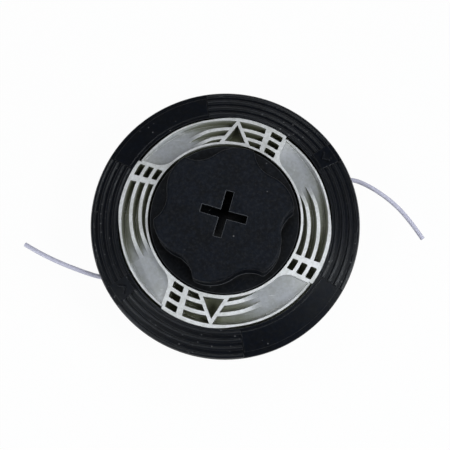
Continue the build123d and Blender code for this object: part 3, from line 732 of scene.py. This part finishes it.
@dataclass
class LineTail:
    """Free end of the cutting line, a clamped quadratic spline through the eyelet."""

    side: str
    route_mm: tuple[Point, ...]
    diameter: float = 2.4 * MM
    spline_order: int = 3
    span_steps: int = 16
    bevel_steps: int = 6
    length_steps: int = 200

    def length(self) -> float:
        """Measure the clamped quadratic B-spline.

        Each span is an arc of a parabola about one inner point. It runs between the middles of the stretches
        beside that point, but the first arc starts at the first point, and the last one ends at the last.
        Short steps along the arcs are summed.

        Returns:
            The length in metres.
        """
        points = np.array(self.route_mm) * MM
        middles = (points[1:-2] + points[2:-1]) / 2
        starts = np.vstack([points[:1], middles])
        ends = np.vstack([middles, points[-1:]])
        share = np.linspace(0, 1, self.length_steps)[:, None, None]
        curve = (1 - share) ** 2 * starts + 2 * share * (1 - share) * points[1:-1] + share**2 * ends
        return float(np.linalg.norm(np.diff(curve, axis=0), axis=2).sum())

    def build(self, material: bpy.types.Material) -> None:
        """Args:
            material: the cutting line's nylon.
        """
        curve = bpy.data.curves.new(f"cutting_line_{self.side}", "CURVE")
        curve.dimensions = "3D"
        curve.bevel_depth = self.diameter / 2
        curve.bevel_resolution = self.bevel_steps
        curve.resolution_u = self.span_steps
        curve.use_fill_caps = True
        spline = curve.splines.new("NURBS")
        points = np.array(self.route_mm) * MM
        spline.points.add(len(points) - 1)
        weighted = np.hstack([points, np.ones((len(points), 1))])
        spline.points.foreach_set("co", weighted.astype(np.float32).ravel())
        spline.order_u = self.spline_order
        spline.use_endpoint_u = True
        tail = bpy.data.objects.new(f"cutting_line_{self.side}", curve)
        bpy.context.collection.objects.link(tail)
        curve.materials.append(material)
        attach(tail, Body.HOUSING.value)
        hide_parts(f"line_tail_{self.side}")
        LOG.info("%s: %.1f mm of line", tail.name, self.length() / MM)


LINE_Z = 36.2
RIGHT_TAIL = LineTail("right", (
    (52.07, 23.18, LINE_Z), (59.84, 26.64, LINE_Z), (68.9, 27.3, LINE_Z - 0.2),
    (77.0, 23.9, LINE_Z - 0.6), (85.3, 18.6, LINE_Z - 1.1), (92.6, 12.5, LINE_Z - 1.8),
    (98.0, 6.4, LINE_Z - 2.5), (102.4, 0.6, LINE_Z - 3.3), (106.2, -4.8, LINE_Z - 4.2)))
LEFT_TAIL = LineTail("left", (
    (-52.07, -23.18, LINE_Z), (-59.84, -26.64, LINE_Z), (-68.3, -25.3, LINE_Z - 0.2),
    (-76.4, -22.6, LINE_Z - 0.6), (-84.3, -19.6, LINE_Z - 1.1), (-91.6, -16.5, LINE_Z - 1.8),
    (-98.3, -13.2, LINE_Z - 2.5), (-104.0, -10.1, LINE_Z - 3.3), (-108.8, -7.2, LINE_Z - 4.2)))


@dataclass(frozen=True)
class SoftBox:
    """One square area lamp that faces the head, in metres and watts."""

    name: str
    place: Point
    side: float
    power: float
    colour: Colour = (0.92, 0.97, 1.0)


@dataclass
class Studio:
    """White sweep, soft boxes and the camera at the photograph's viewing angle."""

    rim_centre_px: tuple[float, float] = (224.87, 223.75)
    mm_per_px: float = 0.5194
    distance: float = 0.55
    elevation_deg: float = 80.9
    lean_deg: float = 7.0
    rim_height: float = 56.0 * MM
    floor_side: float = 6.0
    floor_tone: Colour = (0.86, 0.86, 0.86)
    floor_white_share: float = 0.96
    fill_colour: Colour = (0.97, 0.98, 1.0)
    fill_strength: float = 0.12
    soft_boxes: tuple[SoftBox, ...] = (
        SoftBox("Key Box", (0.5, -0.17, 1.0), side=0.32, power=4.4),
        SoftBox("Fill Box", (-0.4, -0.4, 1.0), side=0.32, power=2.6),
        SoftBox("Right Strip", (1.0, -0.3, 0.34), side=0.22, power=3.2),
        SoftBox("Left Strip", (-0.86, -0.56, 0.34), side=0.22, power=2.4),
        SoftBox("Top Box", (0.0, 0.48, 1.04), side=0.45, power=2.4, colour=(0.93, 0.97, 1.0)),
    )

    def build(self) -> None:
        """Set up the world, the floor, the lamps and the camera."""
        bpy.context.scene.view_settings.view_transform = "Standard"
        self._world()
        self._floor()
        for box in self.soft_boxes:
            self._lamp(box)
        self._camera()

    @staticmethod
    def _seen(make: Recipe) -> bpy.types.NodeSocket:
        """Tell the rays that show the floor from those that only light the head.

        Args:
            make: the recipe of the floor's material.

        Returns:
            The output socket that is 1 for rays from the camera, from gloss and through clear material.
        """
        path = make.node("ShaderNodeLightPath").outputs
        either = make.math("MAXIMUM", path["Is Camera Ray"], path["Is Glossy Ray"])
        return make.math("MAXIMUM", either, path["Is Transmission Ray"])

    def _world(self) -> None:
        """Make the world white to the camera, and a low even fill as light."""
        world = bpy.data.worlds.new("White Sweep")
        bpy.context.scene.world = world
        world.use_nodes = True
        make = Recipe(world.node_tree)
        camera_ray = make.node("ShaderNodeLightPath").outputs["Is Camera Ray"]
        fill = make.node("ShaderNodeBackground", {"Color": self.fill_colour, "Strength": self.fill_strength})
        white = make.node("ShaderNodeBackground", {"Color": WHITE, "Strength": 1.0})
        mix = make.node("ShaderNodeMixShader", {0: camera_ray, 1: fill.outputs[0], 2: white.outputs[0]})
        make.node("ShaderNodeOutputWorld", {"Surface": mix.outputs[0]})

    def _floor(self) -> None:
        """Lay a plain white floor that keeps a faint shadow under its own white."""
        half = self.floor_side / 2
        corners = [(-half, -half, 0.0), (half, -half, 0.0), (half, half, 0.0), (-half, half, 0.0)]
        mesh = bpy.data.meshes.new("White Floor")
        mesh.from_pydata(corners, [], [(0, 1, 2, 3)])
        floor = bpy.data.objects.new("White Floor", mesh)
        bpy.context.collection.objects.link(floor)
        material, make = new_material("White Floor")
        paper = make.node("ShaderNodeBsdfDiffuse", {"Color": self.floor_tone})
        glow = make.node("ShaderNodeEmission", {"Color": WHITE, "Strength": 1.0})
        share = make.math("MULTIPLY", self._seen(make), self.floor_white_share)
        mix = make.node("ShaderNodeMixShader", {0: share, 1: paper.outputs[0], 2: glow.outputs[0]})
        make.node("ShaderNodeOutputMaterial", {"Surface": mix.outputs[0]})
        mesh.materials.append(material)

    def _lamp(self, box: SoftBox) -> None:
        """Hang one soft box and turn it to the middle of the rim.

        Args:
            box: the lamp's place, size and light.
        """
        light = bpy.data.lights.new(box.name, "AREA")
        light.shape = "SQUARE"
        light.size = box.side
        light.energy = box.power
        light.color = box.colour
        lamp = bpy.data.objects.new(box.name, light)
        lamp.location = box.place
        aim = Vector((0, 0, self.rim_height)) - Vector(box.place)
        lamp.rotation_euler = aim.to_track_quat("-Z", "Y").to_euler()
        bpy.context.collection.objects.link(lamp)

    def _camera(self) -> None:
        """Place a camera that sees the rim's centre at its pixel, with the axis leaning a little left."""
        elevation, lean = math.radians(self.elevation_deg), math.radians(self.lean_deg)
        back = Vector((math.cos(elevation) * math.sin(lean), -math.cos(elevation) * math.cos(lean),
                       math.sin(elevation)))
        right = Vector((0, 1, 0)).cross(back).normalized()
        up = back.cross(right)
        middle = PHOTO_SIDE_PX / 2
        across = (middle - self.rim_centre_px[0]) * self.mm_per_px * MM
        upward = (self.rim_centre_px[1] - middle) * self.mm_per_px * MM
        target = Vector((0, 0, self.rim_height)) + right * across + up * upward
        view = bpy.data.cameras.new("Photo Camera")
        view.sensor_fit = "HORIZONTAL"
        view.angle = 2 * math.atan(middle * self.mm_per_px * MM / self.distance)
        camera = bpy.data.objects.new("Photo Camera", view)
        turn = Matrix((right, up, back)).transposed().to_4x4()
        camera.matrix_world = Matrix.Translation(target + back * self.distance) @ turn
        bpy.context.collection.objects.link(camera)
        bpy.context.scene.camera = camera


def main() -> None:
    """Build the finishes, dress every piece, add the line and set up the studio."""
    logging.basicConfig(level=logging.INFO, format="%(name)s: %(message)s")
    effects = SurfaceEffects()
    black, plated, line = (finish.build(effects) for finish in (BLACK_NYLON, PLATED_STEEL, CUTTING_LINE))
    Casing().build(effects, black, plated)
    FeedSet().build(effects, black, plated, line)
    for tail in (RIGHT_TAIL, LEFT_TAIL):
        tail.build(line)
    Studio().build()
    bpy.context.view_layer.update()


if __name__ == "__main__":
    main()
